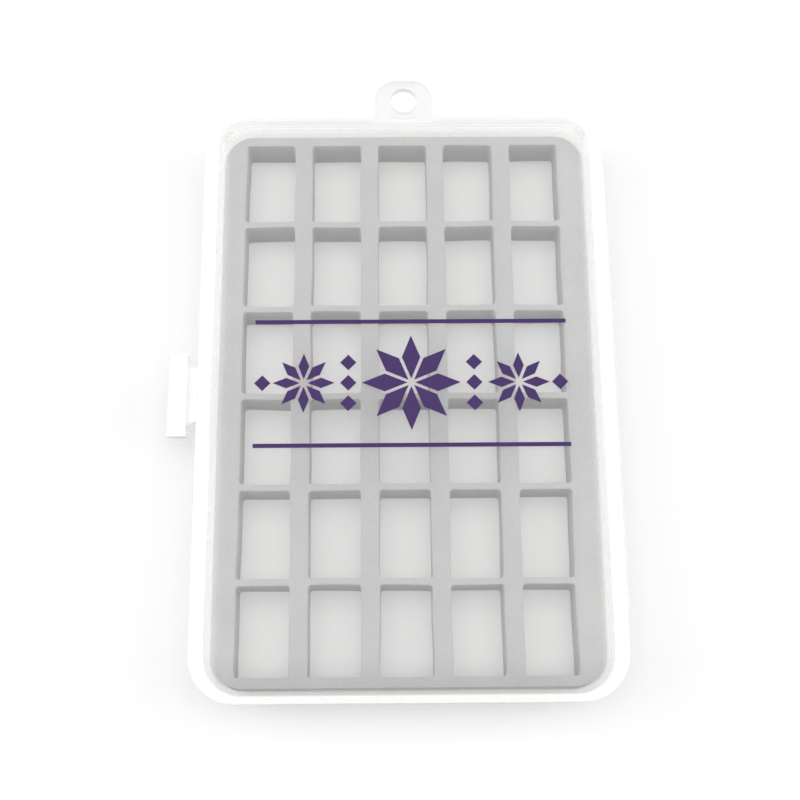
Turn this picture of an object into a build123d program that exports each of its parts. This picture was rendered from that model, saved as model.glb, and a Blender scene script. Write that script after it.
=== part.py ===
from build123d import *
from math import radians, tan
import os

# Bobbin storage box: a slim case moulded in one piece, folded over on a living hinge and
# held shut by a snap latch, with a die-cut foam insert that stands thirty bobbins on edge.
# Millimetres. +X points from the latch to the hinge, +Y to the hang tab and +Z up.
# The origin is the centre of the base's underside.

# Bobbins, and the foam cut for them
bobbin_diameter = 20.4
bobbin_width = 11.7
bobbin_clearance = 0.6
columns = 5
rows = 6
foam_between_columns = 4.4
foam_between_rows = 1.6
foam_side_margin = 6.05
foam_end_margin = 2.5
slots_off_centre = 0.5
foam_thickness = 9.5
foam_corner_r = 7.4
slot_corner_r = 0.8

# Moulded base and lid
wall = 1.2
floor_thickness = 1.2
foam_clearance = 0.3
tray_depth = 11.5
tray_draft = 1.0
tray_edge_r = 1.4
lid_height = 13.5
lid_draft = 8.0
lid_shoulder_r = 7.0
flange_thickness = 1.4
flange_side = 3.2
flange_end = 1.8
lip_thickness = 0.6
lip_height = 1.0
lip_clearance = 0.2

# Hang tab on the lid's far rim
tab_width = 14.7
tab_length = 11.4
tab_corner_r = 5.6
hang_hole_r = 3.4
hang_hole_from_end = 5.8
hang_ring_width = 1.9
hang_ring_height = 0.3

# Living hinge along the rim
hinge_length = 97.0
hinge_offset_y = -4.0
hinge_thickness = 0.4
hinge_leg = 0.3
hinge_bend_r = 0.6

# Snap latch across from the hinge
latch_length = 20.8
latch_shelf = 4.8
latch_drop = 9.5
latch_flare = 0.5
latch_wall = 1.4
latch_end_wall = 1.2
latch_corner_r = 1.0
neck_reach = 2.4
neck_width = 13.0
neck_spread = 1.2
neck_thickness = 0.5
lug_width = 11.0
lug_thickness = 1.4
lug_chamfer = 0.6
lug_below_shelf = 0.35
lug_to_skirt = 0.4
bead_width = 9.0
bead_reach = 0.9
bead_height = 1.3
bead_gap = 0.15

# Sizes that follow
slot_width = bobbin_width + bobbin_clearance
slot_length = bobbin_diameter + bobbin_clearance
pitch_x = slot_width + foam_between_columns
pitch_y = slot_length + foam_between_rows
foam_x = columns * pitch_x - foam_between_columns + 2 * foam_side_margin
foam_y = rows * pitch_y - foam_between_rows + 2 * foam_end_margin
hollow_growth = (tray_depth - floor_thickness) * tan(radians(tray_draft))
base_shrink = tray_depth * tan(radians(tray_draft))
hollow_x = foam_x + 2 * foam_clearance + 2 * hollow_growth
hollow_y = foam_y + 2 * foam_clearance + 2 * hollow_growth
hollow_r = foam_corner_r + foam_clearance + hollow_growth
rim_x = hollow_x + 2 * wall + 2 * flange_side
rim_y = hollow_y + 2 * wall + 2 * flange_end
rim_r = hollow_r + wall + min(flange_side, flange_end)
side_edge = rim_x / 2
end_edge = rim_y / 2
rim_top = tray_depth + flange_thickness
parting = Plane.XY.offset(tray_depth)


def hollow_outline(growth=0.0, mode=Mode.ADD):
    """Outline of the case's hollow at the parting plane, grown outwards all round."""
    RectangleRounded(hollow_x + 2 * growth, hollow_y + 2 * growth, hollow_r + growth, mode=mode)


# Base: floor, drafted walls, rim flange and the lip that centres the lid
with BuildPart() as base_tray:
    with BuildSketch():
        hollow_outline(wall - base_shrink)
    with BuildSketch(parting):
        hollow_outline(wall)
    loft()
    fillet(base_tray.faces().sort_by(Axis.Z)[0].edges(), tray_edge_r)
    with BuildSketch(parting.offset(-flange_thickness)):
        RectangleRounded(rim_x, rim_y, rim_r)
    extrude(amount=flange_thickness)
    with BuildSketch(parting):
        hollow_outline(lip_thickness)
    extrude(amount=lip_height)
    with BuildSketch(Plane.XY.offset(floor_thickness)):
        hollow_outline(-hollow_growth)
    with BuildSketch(parting):
        hollow_outline()
    loft(mode=Mode.SUBTRACT)
    with BuildSketch(parting):
        hollow_outline()
    extrude(amount=lip_height, mode=Mode.SUBTRACT)

# Lid: drafted shell with soft shoulders, rim flange, hang tab and the rebate for the lip
with BuildPart() as lid:
    with BuildSketch(parting):
        hollow_outline(wall)
    extrude(amount=lid_height, taper=lid_draft)
    fillet(lid.faces().sort_by(Axis.Z)[-1].edges(), lid_shoulder_r)
    offset(amount=-wall, openings=lid.faces().sort_by(Axis.Z)[0])
    with BuildSketch(parting):
        RectangleRounded(rim_x, rim_y, rim_r)
        hollow_outline(mode=Mode.SUBTRACT)
    extrude(amount=flange_thickness)
    with BuildSketch(parting) as tab:
        with Locations((0, end_edge + tab_length)):
            Rectangle(tab_width, tab_length + flange_end, align=(Align.CENTER, Align.MAX))
        fillet(tab.vertices().group_by(Axis.Y)[-1], tab_corner_r)
    extrude(amount=flange_thickness)
    with BuildSketch(parting.offset(flange_thickness)):
        with Locations((0, end_edge + tab_length - hang_hole_from_end)):
            Circle(hang_hole_r + hang_ring_width)
    extrude(amount=hang_ring_height)
    with Locations((0, end_edge + tab_length - hang_hole_from_end, rim_top + hang_ring_height)):
        Hole(hang_hole_r)
    with BuildSketch(parting):
        hollow_outline(lip_thickness + lip_clearance)
        hollow_outline(-wall, mode=Mode.SUBTRACT)
    extrude(amount=lip_height + lip_clearance, mode=Mode.SUBTRACT)

# Living hinge: a thin strip folded into a U between the two flanges
with BuildPart() as hinge_web:
    with BuildLine(Plane.XZ.offset(-hinge_offset_y)) as fold:
        lower = Line((side_edge, tray_depth - hinge_bend_r), (side_edge + hinge_leg, tray_depth - hinge_bend_r))
        bend = TangentArc(lower @ 1, (side_edge + hinge_leg, tray_depth + hinge_bend_r), tangent=lower % 1)
        Line(bend @ 1, (side_edge, tray_depth + hinge_bend_r))
    with BuildSketch(Plane(fold.line @ 0, x_dir=(0, 1, 0), z_dir=fold.line % 0)):
        Rectangle(hinge_length, hinge_thickness)
    sweep()

# Latch neck: the thin web that carries the flap and bends when it is lifted
neck_end = side_edge + neck_reach
neck_mid = tray_depth + flange_thickness / 2
with BuildPart() as latch_neck:
    with BuildSketch(Plane.XY.offset(neck_mid - neck_thickness / 2)):
        with BuildLine():
            Polyline(
                (-side_edge, -neck_width / 2),
                (-neck_end, -neck_width / 2 - neck_spread),
                (-neck_end, neck_width / 2 + neck_spread),
                (-side_edge, neck_width / 2),
                close=True,
            )
        make_face()
    extrude(amount=neck_thickness)

# Latch flap: a shelf level with the lid's flange, a skirt to pull and two end walls
flap_outer = neck_end + latch_shelf
flap_bottom = rim_top - latch_drop
with BuildPart() as latch_flap:
    with BuildSketch(Plane.XZ):
        with BuildLine():
            Polyline(
                (-neck_end, flap_bottom),
                (-neck_end, rim_top),
                (-flap_outer, rim_top),
                (-flap_outer - latch_flare, flap_bottom),
                close=True,
            )
        make_face()
    extrude(amount=latch_length / 2, both=True)
    outside = latch_flap.faces().sort_by(Axis.X)[0]
    fillet(outside.edges().sort_by(Axis.Z)[1:], latch_corner_r)
    with BuildSketch(Plane.XZ):
        with BuildLine():
            Polyline(
                (-neck_end, flap_bottom),
                (-neck_end, rim_top - latch_wall),
                (-flap_outer + latch_wall, rim_top - latch_wall),
                (-flap_outer - latch_flare + latch_wall, flap_bottom),
                close=True,
            )
        make_face()
    extrude(amount=latch_length / 2 - latch_end_wall, both=True, mode=Mode.SUBTRACT)

# Catch lug: stands out from the base's flange under the neck
lug_top = tray_depth - lug_below_shelf
lug_reach = flap_outer - latch_wall - lug_to_skirt - side_edge
with BuildPart() as catch_lug:
    with BuildSketch(Plane.XY.offset(lug_top - lug_thickness)):
        with Locations((-side_edge, 0)):
            Rectangle(lug_reach, lug_width, align=(Align.MAX, Align.CENTER))
    extrude(amount=lug_thickness)
    nose = catch_lug.faces().sort_by(Axis.X)[0]
    chamfer(nose.edges().sort_by(Axis.Z)[-1], lug_chamfer)

# Snap bead: the ridge inside the skirt that sits under the lug
bead_top = lug_top - lug_thickness - bead_gap
bead_bottom = bead_top - bead_height


def skirt_face(height):
    """Distance out to the skirt's inner face at a height."""
    return flap_outer - latch_wall + latch_flare * (rim_top - height - latch_wall) / (latch_drop - latch_wall)


with BuildPart() as snap_bead:
    with BuildSketch(Plane.XZ):
        with BuildLine():
            Polyline(
                (-skirt_face(bead_top), bead_top),
                (-skirt_face(bead_top) + bead_reach, bead_top),
                (-skirt_face(bead_bottom), bead_bottom),
                close=True,
            )
        make_face()
    extrude(amount=bead_width / 2, both=True)

# Foam insert: one slab on the floor of the base, die-cut right through with the slots,
# a little nearer the latch than the hinge
with BuildPart() as foam_insert:
    with BuildSketch(Plane.XY.offset(floor_thickness)):
        RectangleRounded(foam_x, foam_y, foam_corner_r)
        with Locations((-slots_off_centre, 0)):
            with GridLocations(pitch_x, pitch_y, columns, rows):
                RectangleRounded(slot_width, slot_length, slot_corner_r, mode=Mode.SUBTRACT)
    extrude(amount=foam_thickness)

pieces = {
    "base_tray": base_tray,
    "lid": lid,
    "hinge_web": hinge_web,
    "latch_neck": latch_neck,
    "latch_flap": latch_flap,
    "catch_lug": catch_lug,
    "snap_bead": snap_bead,
    "foam_insert": foam_insert,
}
os.makedirs("parts", exist_ok=True)
for name, piece in pieces.items():
    piece.part.label = name
    export_step(piece.part, f"parts/{name}.step")
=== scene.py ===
"""Dresses a bobbin storage box for its photograph: a milky folded case with a slotted foam insert.

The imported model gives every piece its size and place. This script gives the case its milky
plastic, replaces the foam and the two thin webs that bend, prints a patchwork star band on
the lid, and sets up the floor, the lamps and the camera. All lengths are in metres.
"""

from __future__ import annotations

import logging
import math
from dataclasses import dataclass
from enum import Enum

import bmesh
import bpy
from mathutils import Matrix, Vector, noise

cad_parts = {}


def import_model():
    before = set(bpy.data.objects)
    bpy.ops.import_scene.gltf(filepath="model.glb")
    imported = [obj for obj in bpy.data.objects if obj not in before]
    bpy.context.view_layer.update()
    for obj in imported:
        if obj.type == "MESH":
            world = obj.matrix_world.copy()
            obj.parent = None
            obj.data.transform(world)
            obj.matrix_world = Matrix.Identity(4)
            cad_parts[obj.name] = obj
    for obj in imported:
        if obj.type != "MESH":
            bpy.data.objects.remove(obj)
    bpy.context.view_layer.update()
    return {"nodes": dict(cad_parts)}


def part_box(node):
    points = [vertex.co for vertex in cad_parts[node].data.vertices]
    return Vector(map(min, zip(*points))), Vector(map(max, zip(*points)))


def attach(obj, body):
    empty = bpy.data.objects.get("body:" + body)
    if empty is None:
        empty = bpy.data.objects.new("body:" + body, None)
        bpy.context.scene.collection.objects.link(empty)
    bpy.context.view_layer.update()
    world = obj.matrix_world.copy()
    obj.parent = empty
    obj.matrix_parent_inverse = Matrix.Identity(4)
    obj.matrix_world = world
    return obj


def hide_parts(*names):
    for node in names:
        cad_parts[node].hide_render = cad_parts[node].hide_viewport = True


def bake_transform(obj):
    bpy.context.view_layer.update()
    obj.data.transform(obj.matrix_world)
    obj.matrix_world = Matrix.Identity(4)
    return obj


MM = 0.001
LOG = logging.getLogger("bobbin_box")

# Points nearer to each other than this are one point
MERGE_DISTANCE = 0.001 * MM
# Edges that turn by less than this many degrees are shaded smooth
SMOOTH_BELOW = 35.0
# Clear walls that a ray may pass one behind the other
CLEAR_LAYERS = 40

Colour = tuple[float, float, float, float]
Place = tuple[float, float, float]
Socket = bpy.types.NodeSocket

WHITE: Colour = (1, 1, 1, 1)


class Slot(Enum):
    """The record's material slots."""

    SHELL = "clear_shell"
    FOAM = "foam"
    INK = "print_ink"


class ShaderSheet:
    """A material's node tree, with its Principled shader and object coordinates at hand."""

    def __init__(self, name: str) -> None:
        """Starts a material.

        Args:
            name: the material's name.
        """
        self.material = bpy.data.materials.new(name)
        self.material.use_nodes = True
        self.tree = self.material.node_tree
        self.surface = self.tree.nodes["Principled BSDF"]
        self.place = self.tree.nodes.new("ShaderNodeTexCoord").outputs["Object"]

    def set(self, **values: float | Colour) -> None:
        """Sets the shader's own sockets, named with underscores for spaces."""
        for name, value in values.items():
            self.surface.inputs[name.replace("_", " ")].default_value = value

    def feed(self, name: str, source: Socket) -> None:
        """Links a node's output to one of the shader's sockets."""
        self.tree.links.new(source, self.surface.inputs[name])

    def noise(self, size: float, detail: float = 2.0) -> Socket:
        """Adds soft noise in object space.

        Args:
            size: the size of its patches, in metres.
            detail: how much finer noise rides on it.

        Returns:
            The noise's socket.
        """
        texture = self.tree.nodes.new("ShaderNodeTexNoise")
        texture.inputs["Scale"].default_value = 1 / size
        texture.inputs["Detail"].default_value = detail
        self.tree.links.new(self.place, texture.inputs["Vector"])
        return texture.outputs["Fac"]

    def cells(self, size: float) -> Socket:
        """Adds closed cells in object space.

        Args:
            size: the size of a cell, in metres.

        Returns:
            The socket of the distance to each cell's middle.
        """
        texture = self.tree.nodes.new("ShaderNodeTexVoronoi")
        texture.inputs["Scale"].default_value = 1 / size
        self.tree.links.new(self.place, texture.inputs["Vector"])
        return texture.outputs["Distance"]

    def spread(self, source: Socket, low: float, high: float) -> Socket:
        """Turns a pattern into a number that runs between two values.

        Args:
            source: the pattern's socket.
            low: the value where the pattern is at its lowest.
            high: the value where it is at its highest.

        Returns:
            The number's socket.
        """
        node = self.tree.nodes.new("ShaderNodeMapRange")
        node.inputs["To Min"].default_value = low
        node.inputs["To Max"].default_value = high
        self.tree.links.new(source, node.inputs["Value"])
        return node.outputs["Result"]

    def height(self) -> Socket:
        """Adds the height above the origin.

        Returns:
            The height's socket, in metres.
        """
        axes = self.tree.nodes.new("ShaderNodeSeparateXYZ")
        self.tree.links.new(self.place, axes.inputs["Vector"])
        return axes.outputs["Z"]

    def outward(self, core: tuple[float, float]) -> Socket:
        """Adds the level distance out from a rectangle, which rounds its corners as it grows.

        Args:
            core: half the rectangle's size along X and Y, in metres.

        Returns:
            The distance's socket.
        """
        source = self.place
        for operation, value in (
            ("ABSOLUTE", (0, 0, 0)),
            ("SUBTRACT", (*core, 0)),
            ("MAXIMUM", (0, 0, 0)),
            ("MULTIPLY", (1, 1, 0)),
            ("LENGTH", (0, 0, 0)),
        ):
            node = self.tree.nodes.new("ShaderNodeVectorMath")
            node.operation = operation
            node.inputs[1].default_value = value
            self.tree.links.new(source, node.inputs[0])
            source = next(socket for socket in node.outputs if socket.enabled)
        return source

    def follow(self, source: Socket, stops: tuple[tuple[float, float], ...]) -> Socket:
        """Adds a number that runs smoothly from stop to stop.

        Args:
            source: the socket of the length that it follows.
            stops: pairs of a length in metres, shortest first, and the number there.

        Returns:
            The number's socket.
        """
        total = None
        for (near, at_near), (far, at_far) in zip(stops, stops[1:]):
            step = self.tree.nodes.new("ShaderNodeMapRange")
            step.interpolation_type = "SMOOTHSTEP"
            start = at_near if total is None else 0.0
            for name, value in {
                "From Min": near,
                "From Max": far,
                "To Min": start,
                "To Max": start + at_far - at_near,
            }.items():
                step.inputs[name].default_value = value
            self.tree.links.new(source, step.inputs["Value"])
            part = step.outputs["Result"]
            total = part if total is None else self.combine("ADD", total, part)
        return total

    def combine(self, operation: str, first: Socket, second: Socket) -> Socket:
        """Adds a sum, a product or another operation on two numbers.

        Args:
            operation: the math node's operation.
            first: the first number's socket.
            second: the second number's socket.

        Returns:
            The result's socket.
        """
        node = self.tree.nodes.new("ShaderNodeMath")
        node.operation = operation
        self.tree.links.new(first, node.inputs[0])
        self.tree.links.new(second, node.inputs[1])
        return node.outputs["Value"]

    def blend(self, source: Socket, first: Colour | Socket, second: Colour) -> Socket:
        """Mixes two colours by a pattern.

        Args:
            source: the pattern's socket.
            first: the colour where the pattern is at its lowest, or its socket.
            second: the colour where it is at its highest.

        Returns:
            The colour's socket.
        """
        node = self.tree.nodes.new("ShaderNodeMix")
        node.data_type = "RGBA"
        colours = [socket for socket in node.inputs if socket.type == "RGBA"]
        if isinstance(first, Socket):
            self.tree.links.new(first, colours[0])
        else:
            colours[0].default_value = first
        colours[1].default_value = second
        self.tree.links.new(source, node.inputs["Factor"])
        return next(socket for socket in node.outputs if socket.type == "RGBA")

    def bump(self, source: Socket, height: float, under: Socket | None = None) -> Socket:
        """Adds relief.

        Args:
            source: the pattern's socket.
            height: the relief's height, in metres.
            under: the normal of a relief that this one lies on, if any.

        Returns:
            The normal's socket.
        """
        node = self.tree.nodes.new("ShaderNodeBump")
        node.inputs["Distance"].default_value = height
        self.tree.links.new(source, node.inputs["Height"])
        if under is not None:
            self.tree.links.new(under, node.inputs["Normal"])
        return node.outputs["Normal"]


def seen_share(tree: bpy.types.NodeTree, lighting: float, seen: float) -> Socket:
    """Adds a number with one value for light and another for what is looked at.

    Args:
        tree: the node tree to add it to.
        lighting: the value for the rays that light things.
        seen: the value for the camera's rays and those that gloss and glass send on.

    Returns:
        The number's socket.
    """
    path = tree.nodes.new("ShaderNodeLightPath")
    total = path.outputs["Is Camera Ray"]
    for name in ("Is Glossy Ray", "Is Transmission Ray"):
        either = tree.nodes.new("ShaderNodeMath")
        either.operation = "MAXIMUM"
        tree.links.new(total, either.inputs[0])
        tree.links.new(path.outputs[name], either.inputs[1])
        total = either.outputs["Value"]
    level = tree.nodes.new("ShaderNodeMapRange")
    level.inputs["To Min"].default_value = lighting
    level.inputs["To Max"].default_value = seen
    tree.links.new(total, level.inputs["Value"])
    return level.outputs["Result"]


@dataclass(frozen=True)
class MilkyPlastic:
    """Milky translucent polypropylene: hazy, satin, a little wavy from the mould."""

    name: str
    haze: float
    pale: Colour = (0.97, 0.975, 0.985, 1)
    warm: Colour = (0.985, 0.98, 0.965, 1)
    tone_patch: float = 38 * MM
    roughness_low: float = 0.2
    roughness_high: float = 0.34
    roughness_patch: float = 10.5 * MM
    wave: float = 16 * MM
    wave_height: float = 0.03 * MM
    grain: float = 0.35 * MM
    grain_height: float = 0.002 * MM
    ior: float = 1.49

    def make(self) -> bpy.types.Material:
        """Makes the material.

        Returns:
            The finished material.
        """
        sheet = ShaderSheet(self.name)
        sheet.feed("Base Color", self.colour_over(sheet))
        patches = sheet.noise(self.roughness_patch)
        sheet.feed("Roughness", sheet.spread(patches, self.roughness_low, self.roughness_high))
        waves = sheet.bump(sheet.noise(self.wave, detail=1), self.wave_height)
        sheet.feed("Normal", sheet.bump(sheet.noise(self.grain), self.grain_height, waves))
        sheet.set(Alpha=self.haze, IOR=self.ior)
        haze = self.haze_over(sheet)
        if haze is not None:
            sheet.feed("Alpha", haze)
        return sheet.material

    def colour_over(self, sheet: ShaderSheet) -> Socket:
        """Returns the socket of the plastic's colour."""
        return sheet.blend(sheet.noise(self.tone_patch, detail=3), self.pale, self.warm)

    def haze_over(self, sheet: ShaderSheet) -> Socket | None:
        """Returns the socket of a haze that changes over the piece, if it does."""
        return None


@dataclass(frozen=True)
class RimPlastic(MilkyPlastic):
    """The plastic of a piece with walls and a flange, which is the hazier of the two."""

    flange_haze: float = 0.6
    wall_r: float = 9.1 * MM
    flange_side: float = 3.2 * MM
    flange_end: float = 1.8 * MM
    # The step in haze starts this far inside the walls' outer face and ends this far outside it
    step_inside: float = 0.2 * MM
    step_outside: float = 0.3 * MM

    def core(self) -> tuple[float, float]:
        """Returns half the size of the rectangle that the wall's corners round out from."""
        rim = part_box("base_tray")[1]
        return (rim.x - self.flange_side - self.wall_r, rim.y - self.flange_end - self.wall_r)

    def haze_over(self, sheet: ShaderSheet) -> Socket:
        """Adds the haze, with its step from the walls to the flange.

        Args:
            sheet: the material's node tree.

        Returns:
            The haze's socket.
        """
        stops = (
            (self.wall_r - self.step_inside, self.haze),
            (self.wall_r + self.step_outside, self.flange_haze),
        )
        return sheet.follow(sheet.outward(self.core()), stops)


@dataclass(frozen=True)
class LidPlastic(RimPlastic):
    """The lid's plastic: hazier on its long walls and shoulders as a painted highlight, and a little
    greyer at the tab as painted shade.
    """

    # Extra haze on the long walls and their shoulders only, which is a painted highlight
    shoulder_highlight_haze: float = 0.62
    # Depths inside the walls' outer face at which that haze starts, bends and is full
    shoulder_start: float = 5.2 * MM
    shoulder_bend: float = 3.2 * MM
    shoulder_bend_share: float = 0.25
    shoulder_full: float = 2.0 * MM
    # Depths under the lid's top at which it ends, just above the flange, and is full
    haze_end: float = 12.1 * MM
    haze_full: float = 10.6 * MM
    # The tab's grey is painted shade, standing in for the shadow that the lid does not cast
    tab_painted_shade: Colour = (0.86, 0.86, 0.855, 1)
    tab_shade_fade: float = 1.5 * MM

    def colour_over(self, sheet: ShaderSheet) -> Socket:
        """Adds the colour, with painted shade on the tab beyond where it leaves the rim.

        Args:
            sheet: the material's node tree.

        Returns:
            The colour's socket.
        """
        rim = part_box("base_tray")[1]
        # Painted shade: the tab turns grey past the rim's outline
        tab = sheet.follow(sheet.outward((rim.x, rim.y)), ((0.0, 0.0), (self.tab_shade_fade, 1.0)))
        return sheet.blend(tab, super().colour_over(sheet), self.tab_painted_shade)

    def haze_over(self, sheet: ShaderSheet) -> Socket:
        """Adds the haze, with more of it on the long walls and their shoulders as a painted
        highlight.

        Args:
            sheet: the material's node tree.

        Returns:
            The haze's socket.
        """
        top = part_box("lid")[1]
        # Painted highlight: more haze along the long walls, none at the ends
        highlight_sides = sheet.follow(
            sheet.outward((self.core()[0], top.y)),
            (
                (self.wall_r - self.shoulder_start, 0.0),
                (self.wall_r - self.shoulder_bend, self.shoulder_bend_share * self.shoulder_highlight_haze),
                (self.wall_r - self.shoulder_full, self.shoulder_highlight_haze),
            ),
        )
        above_flange = sheet.follow(
            sheet.height(), ((top.z - self.haze_end, 0.0), (top.z - self.haze_full, 1.0))
        )
        shoulders = sheet.combine("MULTIPLY", highlight_sides, above_flange)
        return sheet.combine("ADD", shoulders, super().haze_over(sheet))


@dataclass(frozen=True)
class FlapPlastic(MilkyPlastic):
    """The latch flap's plastic: white at the thick shelf, clearer down the skirt."""

    skirt_haze: float = 0.05
    shelf_depth: float = 1.3 * MM
    skirt_depth: float = 2.3 * MM

    def haze_over(self, sheet: ShaderSheet) -> Socket:
        """Adds the haze, which thins from the shelf down to the skirt.

        Args:
            sheet: the material's node tree.

        Returns:
            The haze's socket.
        """
        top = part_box("latch_flap")[1].z
        stops = ((top - self.skirt_depth, self.skirt_haze), (top - self.shelf_depth, self.haze))
        return sheet.follow(sheet.height(), stops)


@dataclass(frozen=True)
class CellFoam:
    """Die-cut closed-cell foam: fine matte cells, a little uneven in tone."""

    light: Colour = (0.53, 0.52, 0.515, 1)
    dark: Colour = (0.44, 0.435, 0.445, 1)
    tone_patch: float = 9 * MM
    cell: float = 0.5 * MM
    cell_height: float = 0.12 * MM
    roughness_low: float = 0.8
    roughness_high: float = 0.97
    sheen: float = 0.15

    def make(self) -> bpy.types.Material:
        """Makes the material.

        Returns:
            The finished material.
        """
        sheet = ShaderSheet("cell_foam")
        cells = sheet.cells(self.cell)
        tone = sheet.noise(self.tone_patch, detail=4)
        sheet.feed("Base Color", sheet.blend(tone, self.light, self.dark))
        sheet.feed("Normal", sheet.bump(cells, self.cell_height))
        sheet.feed("Roughness", sheet.spread(cells, self.roughness_low, self.roughness_high))
        sheet.set(Sheen_Weight=self.sheen)
        return sheet.material


@dataclass(frozen=True)
class PurpleInk:
    """Screen-printed ink: flat deep purple with slightly uneven cover."""

    full: Colour = (0.04, 0.013, 0.105, 1)
    thin: Colour = (0.052, 0.02, 0.125, 1)
    cover_patch: float = 2.5 * MM
    mesh: float = 0.25 * MM
    mesh_height: float = 0.004 * MM
    roughness: float = 0.42
    shine: float = 0.25

    def make(self) -> bpy.types.Material:
        """Makes the material.

        Returns:
            The finished material.
        """
        sheet = ShaderSheet("purple_ink")
        cover = sheet.noise(self.cover_patch, detail=4)
        sheet.feed("Base Color", sheet.blend(cover, self.full, self.thin))
        sheet.feed("Normal", sheet.bump(sheet.noise(self.mesh), self.mesh_height))
        sheet.set(Roughness=self.roughness, Specular_IOR_Level=self.shine)
        return sheet.material


def add_piece(name: str, shape: bmesh.types.BMesh, material: bpy.types.Material) -> bpy.types.Object:
    """Makes an object of a bmesh and frees it.

    Args:
        name: the piece's name.
        shape: its shape, in place, in metres.
        material: its material.

    Returns:
        The new object, which sits at the origin.
    """
    mesh = bpy.data.meshes.new(name)
    bmesh.ops.recalc_face_normals(shape, faces=shape.faces[:])
    for face in shape.faces:
        face.smooth = True
    for edge in shape.edges:
        edge.smooth = edge.calc_face_angle(math.pi) < math.radians(SMOOTH_BELOW)
    shape.to_mesh(mesh)
    shape.free()
    mesh.materials.append(material)
    piece = bpy.data.objects.new(name, mesh)
    bpy.context.scene.collection.objects.link(piece)
    LOG.info("%s: %d faces", name, len(mesh.polygons))
    return piece


@dataclass
class Shells:
    """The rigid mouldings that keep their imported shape: base, lid, latch flap, lug and bead."""

    lid_haze: float = 0.1
    tray_haze: float = 0.14
    tray_flange_haze: float = 0.45
    tray_pale: Colour = (0.965, 0.955, 0.935, 1)
    tray_warm: Colour = (0.955, 0.94, 0.91, 1)
    flap_haze: float = 0.9
    lug_haze: float = 0.05

    def dress(self, nodes: dict[str, bpy.types.Object]) -> None:
        """Gives each moulding its plastic.

        Args:
            nodes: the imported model's objects by node name.
        """
        tray = RimPlastic(
            "milky_tray",
            self.tray_haze,
            pale=self.tray_pale,
            warm=self.tray_warm,
            flange_haze=self.tray_flange_haze,
        ).make()
        cover = LidPlastic("milky_lid", self.lid_haze).make()
        flap = FlapPlastic("milky_flap", self.flap_haze).make()
        lug = MilkyPlastic("milky_lug", self.lug_haze).make()
        for name, material in {
            "base_tray": tray,
            "lid": cover,
            "latch_flap": flap,
            "catch_lug": lug,
            "snap_bead": lug,
        }.items():
            nodes[name].material_slots[0].material = material
            LOG.info("%s: %s", name, material.name)
        # A hazy surface would shade the foam more than real milky plastic does
        nodes["lid"].visible_shadow = False


@dataclass
class FoamInsert:
    """The die-cut foam, with walls that waver a little as a knife leaves them."""

    flat_degrees: float = 0.5
    rim_degrees: float = 60.0
    level_within: float = 0.01 * MM
    edge_round: float = 0.25 * MM
    cut_step: float = 2.4 * MM
    height_step: float = 3.6 * MM
    wave_seed: int = 1
    wave_length: float = 14 * MM
    wave_reach: float = 0.32 * MM
    wave_change_with_height: float = 0.4
    # Share of the slab's half size over which the waver grows from nothing at its outline
    still_rim_share: float = 1 / 12
    crown_reach: float = 0.1 * MM
    floor_gap: float = 0.05 * MM

    def build(self, node: bpy.types.Object) -> bpy.types.Object:
        """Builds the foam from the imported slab.

        Args:
            node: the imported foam, which the new piece replaces.

        Returns:
            The foam piece, which rides on the base.
        """
        low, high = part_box("foam_insert")
        shape = bmesh.new()
        shape.from_mesh(node.data)
        bmesh.ops.remove_doubles(shape, verts=shape.verts[:], dist=MERGE_DISTANCE)
        bmesh.ops.dissolve_limit(
            shape,
            angle_limit=math.radians(self.flat_degrees),
            verts=shape.verts[:],
            edges=shape.edges[:],
        )
        self.round_rims(shape)
        self.cut_evenly(shape, low, high)
        self.waver(shape, low, high)
        foam = add_piece("foam_pad", shape, CellFoam().make())
        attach(foam, "base")
        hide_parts("foam_insert")
        return foam

    def round_rims(self, shape: bmesh.types.BMesh) -> None:
        """Rounds the level edges of the slab and its slots, at the top and the bottom.

        Args:
            shape: the slab.
        """
        sharp = math.radians(self.rim_degrees)
        rims = [
            edge
            for edge in shape.edges
            if edge.calc_face_angle(0) > sharp
            and abs(edge.verts[0].co.z - edge.verts[1].co.z) < self.level_within
        ]
        bmesh.ops.bevel(
            shape,
            geom=rims,
            offset=self.edge_round,
            segments=2,
            profile=0.5,
            affect="EDGES",
            material=-1,
        )

    def cut_evenly(self, shape: bmesh.types.BMesh, low: Vector, high: Vector) -> None:
        """Cuts the slab into even steps along each axis, so that its walls can waver.

        Args:
            shape: the slab.
            low: its lowest corner.
            high: its highest corner.
        """
        for axis, step in enumerate((self.cut_step, self.cut_step, self.height_step)):
            normal = Vector((axis == 0, axis == 1, axis == 2))
            count = round((high[axis] - low[axis]) / step)
            for index in range(1, count):
                point = low.copy()
                point[axis] += (high[axis] - low[axis]) * index / count
                bmesh.ops.bisect_plane(
                    shape,
                    geom=shape.verts[:] + shape.edges[:] + shape.faces[:],
                    dist=MERGE_DISTANCE,
                    plane_co=point,
                    plane_no=normal,
                )

    def waver(self, shape: bmesh.types.BMesh, low: Vector, high: Vector) -> None:
        """Moves the walls in and out by soft noise, and the top up and down by less.

        Args:
            shape: the slab, cut into even steps.
            low: its lowest corner.
            high: its highest corner.
        """
        middle = (low + high) / 2
        half = (high - low) / 2
        # Without a seed the noise would start from the clock and differ in every run
        noise.seed_set(self.wave_seed)
        for vert in shape.verts:
            place = vert.co / self.wave_length
            place.z *= self.wave_change_with_height
            sway = noise.noise_vector(place)
            edge = max(abs(vert.co.x - middle.x) / half.x, abs(vert.co.y - middle.y) / half.y)
            hold = min(1.0, (1 - edge) / self.still_rim_share)
            vert.co.x += sway.x * self.wave_reach * hold
            vert.co.y += sway.y * self.wave_reach * hold
            rise = (vert.co.z - low.z) / (high.z - low.z)
            vert.co.z += sway.z * self.crown_reach * rise + self.floor_gap


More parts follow.
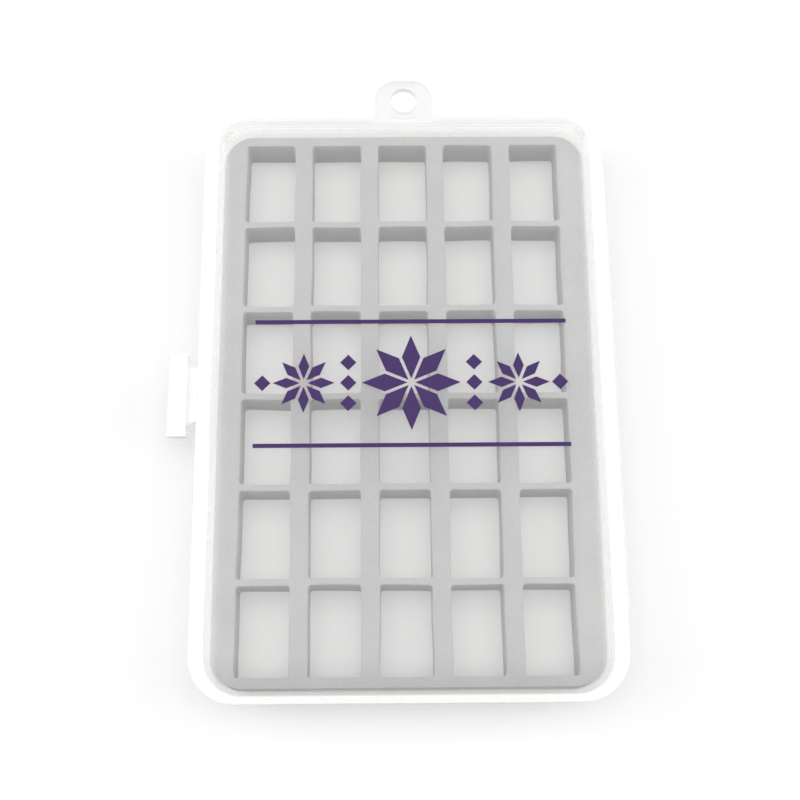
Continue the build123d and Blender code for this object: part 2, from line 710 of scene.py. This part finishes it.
@dataclass
class HingeStrip:
    """The living hinge: a thin strip folded into a U between the two flanges."""

    thickness: float = 0.4 * MM
    leg: float = 0.3 * MM
    bend: float = 0.6 * MM
    haze: float = 0.16
    turn_steps: int = 14
    leg_steps: int = 3
    length_steps: int = 24

    def build(self) -> bpy.types.Object:
        """Builds the strip: out along one leg, round the bend and back along the other.

        Returns:
            The strip, in place between the base and the lid.
        """
        low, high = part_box("hinge_web")
        middle = (low.z + high.z) / 2
        outside = self.bend + self.thickness / 2
        shape = bmesh.new()
        ends = [shape.verts.new((low.x, y, middle - outside)) for y in (low.y, high.y)]
        bmesh.ops.subdivide_edges(shape, edges=[shape.edges.new(ends)], cuts=self.length_steps)
        front = self.lengthen(shape, shape.edges[:], 1)
        turned = bmesh.ops.spin(
            shape,
            geom=front,
            cent=(low.x + self.leg, 0, middle),
            axis=(0, -1, 0),
            angle=math.pi,
            steps=self.turn_steps,
        )
        front = [part for part in turned["geom_last"] if isinstance(part, bmesh.types.BMEdge)]
        self.lengthen(shape, front, -1)
        bmesh.ops.remove_doubles(shape, verts=shape.verts[:], dist=MERGE_DISTANCE)
        bmesh.ops.recalc_face_normals(shape, faces=shape.faces[:])
        bmesh.ops.solidify(shape, geom=shape.faces[:], thickness=self.thickness)
        strip = add_piece("hinge_strip", shape, MilkyPlastic("stressed_plastic", self.haze).make())
        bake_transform(strip)
        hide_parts("hinge_web")
        return strip

    def lengthen(
        self, shape: bmesh.types.BMesh, front: list[bmesh.types.BMEdge], way: int
    ) -> list[bmesh.types.BMEdge]:
        """Draws a row of edges out by one leg of the fold.

        Args:
            shape: the strip.
            front: the edges to draw out.
            way: 1 away from the case, -1 back to it.

        Returns:
            The row's new front edges.
        """
        for _ in range(self.leg_steps):
            drawn = bmesh.ops.extrude_edge_only(shape, edges=front)
            verts = [part for part in drawn["geom"] if isinstance(part, bmesh.types.BMVert)]
            bmesh.ops.translate(shape, vec=(way * self.leg / self.leg_steps, 0, 0), verts=verts)
            moved = set(verts)
            front = [
                part
                for part in drawn["geom"]
                if isinstance(part, bmesh.types.BMEdge) and all(v in moved for v in part.verts)
            ]
        return front


@dataclass
class NeckWeb:
    """The thin web that carries the latch flap, widening towards it."""

    root_width: float = 13.0 * MM
    haze: float = 0.8
    along: int = 12
    across: int = 16

    def build(self) -> bpy.types.Object:
        """Builds the web from a level grid.

        Returns:
            The web, in place between the lid and the latch.
        """
        low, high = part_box("latch_neck")
        size = high - low
        middle = (low + high) / 2
        shape = bmesh.new()
        bmesh.ops.create_grid(shape, x_segments=self.along, y_segments=self.across, size=0.5)
        for vert in shape.verts:
            share = vert.co.x + 0.5
            width = size.y + (self.root_width - size.y) * share
            vert.co = Vector((low.x + size.x * share, middle.y + vert.co.y * width, low.z))
        bmesh.ops.solidify(shape, geom=shape.faces[:], thickness=size.z)
        shift = Vector((0, 0, high.z - max(vert.co.z for vert in shape.verts)))
        bmesh.ops.translate(shape, vec=shift, verts=shape.verts[:])
        web = add_piece("neck_web", shape, MilkyPlastic("stressed_neck", self.haze).make())
        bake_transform(web)
        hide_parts("latch_neck")
        return web


@dataclass
class StarBand:
    """The print on the lid: a band of eight-pointed patchwork stars between plain rules."""

    width: float = 73 * MM
    height: float = 31 * MM
    centre: tuple[float, float] = (1.0 * MM, -1.0 * MM)
    ink_thickness: float = 0.05 * MM
    star_points: int = 8
    big_star: float = 11.5 * MM
    side_star: float = 7.2 * MM
    side_place: float = 25.0 * MM
    seam: float = 0.45 * MM
    rule: float = 1.0 * MM
    small_patch: float = 1.9 * MM
    patch_place: float = 14.65 * MM
    patch_pitch: float = 4.94 * MM

    def build(self) -> bpy.types.Object:
        """Builds the print flat, gives it the thickness of its ink and lays it on the lid.

        Returns:
            The print, which rides on the lid.
        """
        shape = bmesh.new()
        self.star(shape, 0, self.big_star)
        for side in (-1, 1):
            self.star(shape, side * self.side_place, self.side_star)
            self.rule_line(shape, side * (self.height - self.rule) / 2)
            for row in (-1, 0, 1):
                self.patch(shape, side * self.patch_place, row * self.patch_pitch)
            self.patch(shape, side * (self.width / 2 - self.small_patch), 0)
        lifted = bmesh.ops.extrude_face_region(shape, geom=shape.faces[:])
        verts = [part for part in lifted["geom"] if isinstance(part, bmesh.types.BMVert)]
        bmesh.ops.translate(shape, vec=(0, 0, self.ink_thickness), verts=verts)
        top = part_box("lid")[1].z
        bmesh.ops.translate(shape, vec=(*self.centre, top), verts=shape.verts[:])
        print_film = add_piece("lid_print", shape, PurpleInk().make())
        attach(print_film, "lid")
        return print_film

    def star(self, shape: bmesh.types.BMesh, across: float, radius: float) -> None:
        """Adds a star of lozenges with seams between them.

        Args:
            shape: the print.
            across: the star's place along the band.
            radius: its reach.
        """
        length = radius / 2 - self.seam
        width = math.tan(math.pi / self.star_points) * radius / 2 - self.seam / 2
        out = Matrix.Translation((radius / 2 + self.seam, 0, 0))
        lozenge = out @ Matrix.Diagonal((length, width, 1, 1))
        for point in range(self.star_points):
            turn = Matrix.Rotation(point * math.tau / self.star_points, 4, "Z")
            place = Matrix.Translation((across, 0, 0)) @ turn @ lozenge
            bmesh.ops.create_circle(shape, cap_ends=True, segments=4, radius=1, matrix=place)

    def patch(self, shape: bmesh.types.BMesh, across: float, up: float) -> None:
        """Adds a small square stood on its corner.

        Args:
            shape: the print.
            across: its place along the band.
            up: its place across the band.
        """
        square = bmesh.ops.create_circle(shape, cap_ends=True, segments=4, radius=self.small_patch)
        bmesh.ops.translate(shape, vec=(across, up, 0), verts=square["verts"])

    def rule_line(self, shape: bmesh.types.BMesh, up: float) -> None:
        """Adds a plain rule as long as the band.

        Args:
            shape: the print.
            up: the rule's place across the band.
        """
        verts = bmesh.ops.create_grid(shape, x_segments=1, y_segments=1, size=0.5)["verts"]
        bmesh.ops.scale(shape, vec=(self.width, self.rule, 1), verts=verts)
        bmesh.ops.translate(shape, vec=(0, up, 0), verts=verts)


@dataclass
class Studio:
    """The floor, the lamps, the world and the camera."""

    floor_half: float = 1.2
    floor_drop: float = 0.1 * MM
    floor_colour: Colour = (0.7, 0.7, 0.7, 1)
    floor_roughness: float = 0.9
    floor_shine: float = 0.1
    # The floor's glow, which shows and lights nothing, near the box and far off
    glow_near: float = 0.33
    glow_far: float = 0.68
    glow_reach: tuple[float, float] = (0.2, 0.7)
    world_level: float = 0.3
    top_size: float = 0.6
    top_place: Place = (-0.02, 0.04, 0.6)
    top_power: float = 1.65
    side_size: float = 0.4
    side_place: Place = (0.5, 0.03, 0.31)
    side_power: float = 1.3
    eye: Place = (-4.25 * MM, -92.4 * MM, 321.7 * MM)
    aim: Place = (-1.55 * MM, -1.05 * MM, 10.7 * MM)
    roll_degrees: float = -0.5
    focal_px: float = 1337.0
    image_px: float = 800.0
    sensor_mm: float = 36.0

    def build(self) -> None:
        """Sets up the whole studio."""
        self.floor()
        self.world()
        self.lamps()
        self.camera()

    def floor(self) -> None:
        """Adds the pale floor, which shows as white, far off as well, and keeps shadows."""
        shape = bmesh.new()
        bmesh.ops.create_grid(shape, x_segments=2, y_segments=2, size=self.floor_half)
        bmesh.ops.translate(shape, vec=(0, 0, -self.floor_drop), verts=shape.verts[:])
        sheet = ShaderSheet("pale_floor")
        sheet.set(Base_Color=self.floor_colour, Emission_Color=WHITE)
        sheet.set(Roughness=self.floor_roughness, Specular_IOR_Level=self.floor_shine)
        near, far = self.glow_reach
        glow = sheet.follow(sheet.outward((0, 0)), ((near, self.glow_near), (far, self.glow_far)))
        seen = seen_share(sheet.tree, 0, 1)
        sheet.feed("Emission Strength", sheet.combine("MULTIPLY", seen, glow))
        add_piece("floor", shape, sheet.material)

    def world(self) -> None:
        """Lights everything evenly, and shows white behind the floor."""
        world = bpy.data.worlds.new("studio_white")
        bpy.context.scene.world = world
        world.use_nodes = True
        background = world.node_tree.nodes["Background"]
        background.inputs["Color"].default_value = WHITE
        share = seen_share(world.node_tree, self.world_level, 1.0)
        world.node_tree.links.new(share, background.inputs["Strength"])

    def lamps(self) -> None:
        """Hangs a large soft lamp above the box, and a smaller one on its left and its right."""
        self.lamp("softbox", self.top_size, self.top_power, self.top_place)
        across, along, up = self.side_place
        self.lamp("left_softbox", self.side_size, self.side_power, (-across, along, up))
        self.lamp("right_softbox", self.side_size, self.side_power, (across, along, up))

    def lamp(self, name: str, size: float, power: float, place: Place) -> None:
        """Adds a square lamp that points at the box.

        Args:
            name: the lamp's name.
            size: the length of its side, in metres.
            power: its power, in watts.
            place: its middle.
        """
        data = bpy.data.lights.new(name, "AREA")
        data.shape = "SQUARE"
        data.size = size
        data.energy = power
        lamp = bpy.data.objects.new(name, data)
        lamp.location = place
        lamp.rotation_euler = (-lamp.location).to_track_quat("-Z", "Y").to_euler()
        bpy.context.scene.collection.objects.link(lamp)

    def camera(self) -> None:
        """Puts the camera at the photograph's place, looking down at the box."""
        data = bpy.data.cameras.new("camera")
        data.sensor_width = self.sensor_mm
        data.lens = self.sensor_mm * self.focal_px / self.image_px
        camera = bpy.data.objects.new("camera", data)
        ahead = (Vector(self.aim) - Vector(self.eye)).normalized()
        right = ahead.cross(Vector((0, 1, 0))).normalized()
        upward = right.cross(ahead)
        turn = Matrix((right, upward, -ahead)).transposed().to_4x4()
        roll = Matrix.Rotation(math.radians(self.roll_degrees), 4, "Z")
        camera.matrix_world = Matrix.Translation(self.eye) @ turn @ roll
        bpy.context.scene.collection.objects.link(camera)
        bpy.context.scene.camera = camera


def main() -> None:
    """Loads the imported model, dresses it and sets up the studio."""
    logging.basicConfig(level=logging.INFO, format="%(name)s %(message)s")
    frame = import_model()
    bpy.context.scene.view_settings.view_transform = "Standard"
    bpy.context.scene.cycles.transparent_max_bounces = CLEAR_LAYERS
    Studio().build()
    Shells().dress(frame["nodes"])
    FoamInsert().build(frame["nodes"]["foam_insert"])
    HingeStrip().build()
    NeckWeb().build()
    StarBand().build()


if __name__ == "__main__":
    main()
